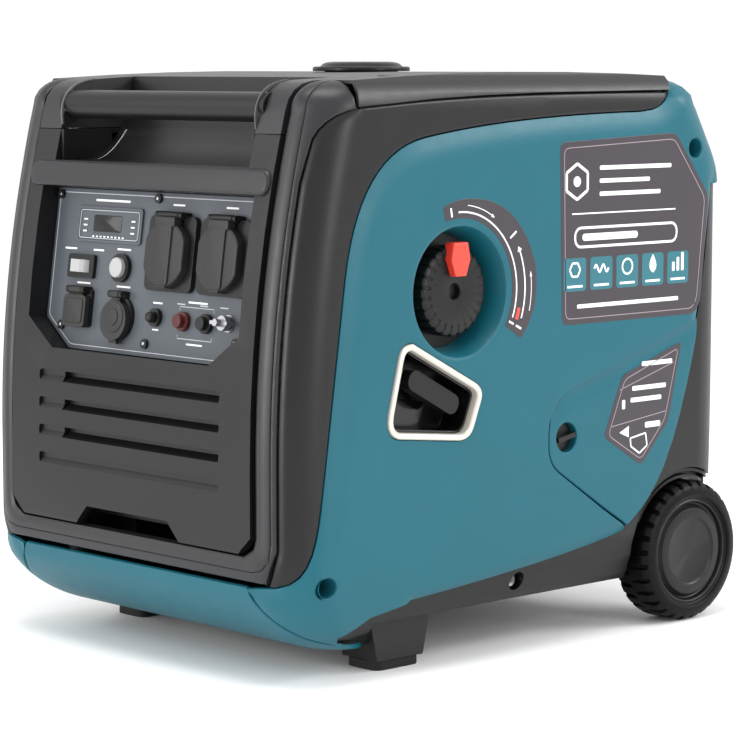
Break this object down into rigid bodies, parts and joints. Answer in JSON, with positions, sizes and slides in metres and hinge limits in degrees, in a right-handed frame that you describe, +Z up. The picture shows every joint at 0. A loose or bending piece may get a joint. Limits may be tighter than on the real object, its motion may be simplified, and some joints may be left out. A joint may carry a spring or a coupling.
{
  "type": "inverter generator",
  "caption": "Closed-frame inverter generator: moulded shells, leaning control panel, run dial, recoil starter, pull-up handle, rear wheels, and the engine inside.",
  "frame": {"origin": "bottom centre of the bounding box, on the ground under the body, within 3 mm along Y", "axes": "+Z up, -Y towards the control panel, +X towards the side with the run dial and the recoil starter"},
  "size_m": [0.416, 0.535, 0.493],
  "materials": {
    "teal_shell": "fine moulded texture",
    "charcoal_shell": "fine moulded texture",
    "graphite_shell": "fine moulded texture",
    "black_plastic": "satin",
    "grey_button": "satin",
    "red_plastic": "satin",
    "panel_label": "printed foil on sheet",
    "bright_ring": "satin",
    "soft_rubber": "matt",
    "tyre_rubber": "matt",
    "zinc_steel": "zinc plated",
    "chrome_tube": "polished",
    "cast_alloy": "as cast",
    "forged_steel": "machined",
    "wound_core": "laminated core with varnished windings",
    "exhaust_steel": "heat stained",
    "terminal_brass": "machined",
    "starter_cord": "braided nylon"
  },
  "bodies": {
    "machine": {"side_shell_right": "teal_shell", "side_shell_left": "teal_shell", "front_chin": "teal_shell", "side_trims": "charcoal_shell", "front_panel": "charcoal_shell", "rear_cover": "charcoal_shell", "starter_housing": "charcoal_shell", "fuel_tank": "charcoal_shell", "intake": "charcoal_shell", "front_bezel": "graphite_shell", "top_cover": "graphite_shell", "base_tray": "black_plastic", "display_module": "black_plastic", "switch_housings": "black_plastic", "ac_sockets": "black_plastic", "dc_outlets": "black_plastic", "fuel_valve": "black_plastic", "starter_pocket": "black_plastic", "front_feet": "black_plastic", "battery": "black_plastic", "parallel_terminals": "red_plastic", "control_plate": "panel_label", "starter_bezel": "bright_ring", "foot_pads": "soft_rubber", "engine_mounts": "soft_rubber", "panel_screws": "zinc_steel", "shell_screws": "zinc_steel", "wheel_axle": "zinc_steel", "handle_guides": "chrome_tube", "crankcase": "cast_alloy", "cylinder": "cast_alloy", "inverter_module": "cast_alloy", "alternator_stator": "wound_core", "muffler": "exhaust_steel", "ground_terminal": "terminal_brass"},
    "handle": {"handle_grip": "soft_rubber", "handle_brackets": "graphite_shell", "handle_tubes": "chrome_tube"},
    "wheel_right": {"tyre_right": "tyre_rubber", "hub_right": "charcoal_shell"},
    "wheel_left": {"tyre_left": "tyre_rubber", "hub_left": "charcoal_shell"},
    "dial": {"dial_knob": "black_plastic", "dial_pointer": "red_plastic"},
    "pull_grip": {"starter_grip": "black_plastic", "starter_rope": "starter_cord"},
    "reel": {"starter_reel": "charcoal_shell"},
    "ac_lid_one": {"ac_lid_1": "black_plastic"},
    "ac_lid_two": {"ac_lid_2": "black_plastic"},
    "dc_lid": {"dc_flap": "charcoal_shell"},
    "round_lid": {"round_cap": "charcoal_shell"},
    "rocker": {"engine_rocker": "grey_button"},
    "start_key": {"start_button": "grey_button"},
    "breaker_key": {"breaker_button": "black_plastic"},
    "service_door": {"service_cover": "teal_shell"},
    "service_lock": {"service_knob": "black_plastic"},
    "cap_seal": {"cap_gasket": "soft_rubber"},
    "cap": {"fuel_cap": "black_plastic"},
    "engine_shaft": {"crankshaft": "forged_steel", "alternator_rotor": "forged_steel"}
  },
  "joints": [
    {"name": "handle_slide", "type": "slide", "parent": "machine", "child": "handle", "axis": [0, 0, 1], "range_m": [0, 0.3]},
    {"name": "wheel_right_spin", "type": "hinge", "parent": "machine", "child": "wheel_right", "pos_m": [0.187, 0.208, 0.062], "axis": [1, 0, 0], "continuous": true},
    {"name": "wheel_left_spin", "type": "hinge", "parent": "machine", "child": "wheel_left", "pos_m": [-0.187, 0.208, 0.062], "axis": [1, 0, 0], "continuous": true},
    {"name": "dial_turn", "type": "hinge", "parent": "machine", "child": "dial", "pos_m": [0.19, -0.081, 0.308], "axis": [-1, 0, 0], "range_deg": [0, 120]},
    {"name": "starter_pull", "type": "slide", "parent": "machine", "child": "pull_grip", "axis": [1, 0, 0], "range_m": [0, 0.6], "deforming": ["starter_rope"]},
    {"name": "reel_spin", "type": "hinge", "parent": "machine", "child": "reel", "pos_m": [0, -0.107, 0.168], "axis": [0, 1, 0], "range_deg": [0, 600]},
    {"name": "ac_lid_one_open", "type": "hinge", "parent": "machine", "child": "ac_lid_one", "pos_m": [0.026, -0.23678, 0.36874], "axis": [-1, 0, 0], "range_deg": [0, 95], "stiffness_Nm_per_rad": 0.02, "springref_deg": -34.38},
    {"name": "ac_lid_two_open", "type": "hinge", "parent": "machine", "child": "ac_lid_two", "pos_m": [0.093, -0.23678, 0.36874], "axis": [-1, 0, 0], "range_deg": [0, 95], "stiffness_Nm_per_rad": 0.02, "springref_deg": -34.38},
    {"name": "dc_lid_open", "type": "hinge", "parent": "machine", "child": "dc_lid", "pos_m": [-0.09, -0.24412, 0.30211], "axis": [-1, 0, 0], "range_deg": [0, 95]},
    {"name": "round_lid_open", "type": "hinge", "parent": "machine", "child": "round_lid", "pos_m": [-0.036, -0.24426, 0.30112], "axis": [-1, 0, 0], "range_deg": [0, 95]},
    {"name": "rocker_tip", "type": "hinge", "parent": "machine", "child": "rocker", "pos_m": [-0.0925, -0.2348, 0.321], "axis": [0, 0.1392, 0.9903], "range_deg": [-8, 8]},
    {"name": "start_press", "type": "slide", "parent": "machine", "child": "start_key", "axis": [0, 0.9903, -0.1392], "range_m": [0, 0.004], "stiffness_N_per_m": 400, "springref_m": -0.002},
    {"name": "breaker_press", "type": "slide", "parent": "machine", "child": "breaker_key", "axis": [0, 0.9903, -0.1392], "range_m": [0, 0.002], "stiffness_N_per_m": 400, "springref_m": -0.002},
    {"name": "service_door_off", "type": "slide", "parent": "machine", "child": "service_door", "axis": [1, 0, 0], "range_m": [0, 0.12]},
    {"name": "service_lock_turn", "type": "hinge", "parent": "service_door", "child": "service_lock", "pos_m": [0.195, 0.046, 0.178], "axis": [1, 0, 0], "range_deg": [0, 90]},
    {"name": "cap_lift", "type": "slide", "parent": "machine", "child": "cap_seal", "axis": [0, 0, 1], "range_m": [0, 0.014]},
    {"name": "cap_turn", "type": "hinge", "parent": "cap_seal", "child": "cap", "pos_m": [0, 0, 0.485], "axis": [0, 0, 1], "range_deg": [0, 360]},
    {"name": "engine_spin", "type": "hinge", "parent": "machine", "child": "engine_shaft", "pos_m": [0, 0, 0.168], "axis": [0, 1, 0], "continuous": true}
  ],
  "couplings": [
    {"joint": "reel_spin", "follows": "starter_pull", "rad_per_m": 16.667},
    {"joint": "cap_lift", "follows": "cap_turn", "m_per_rad": 0.00222}
  ]
}
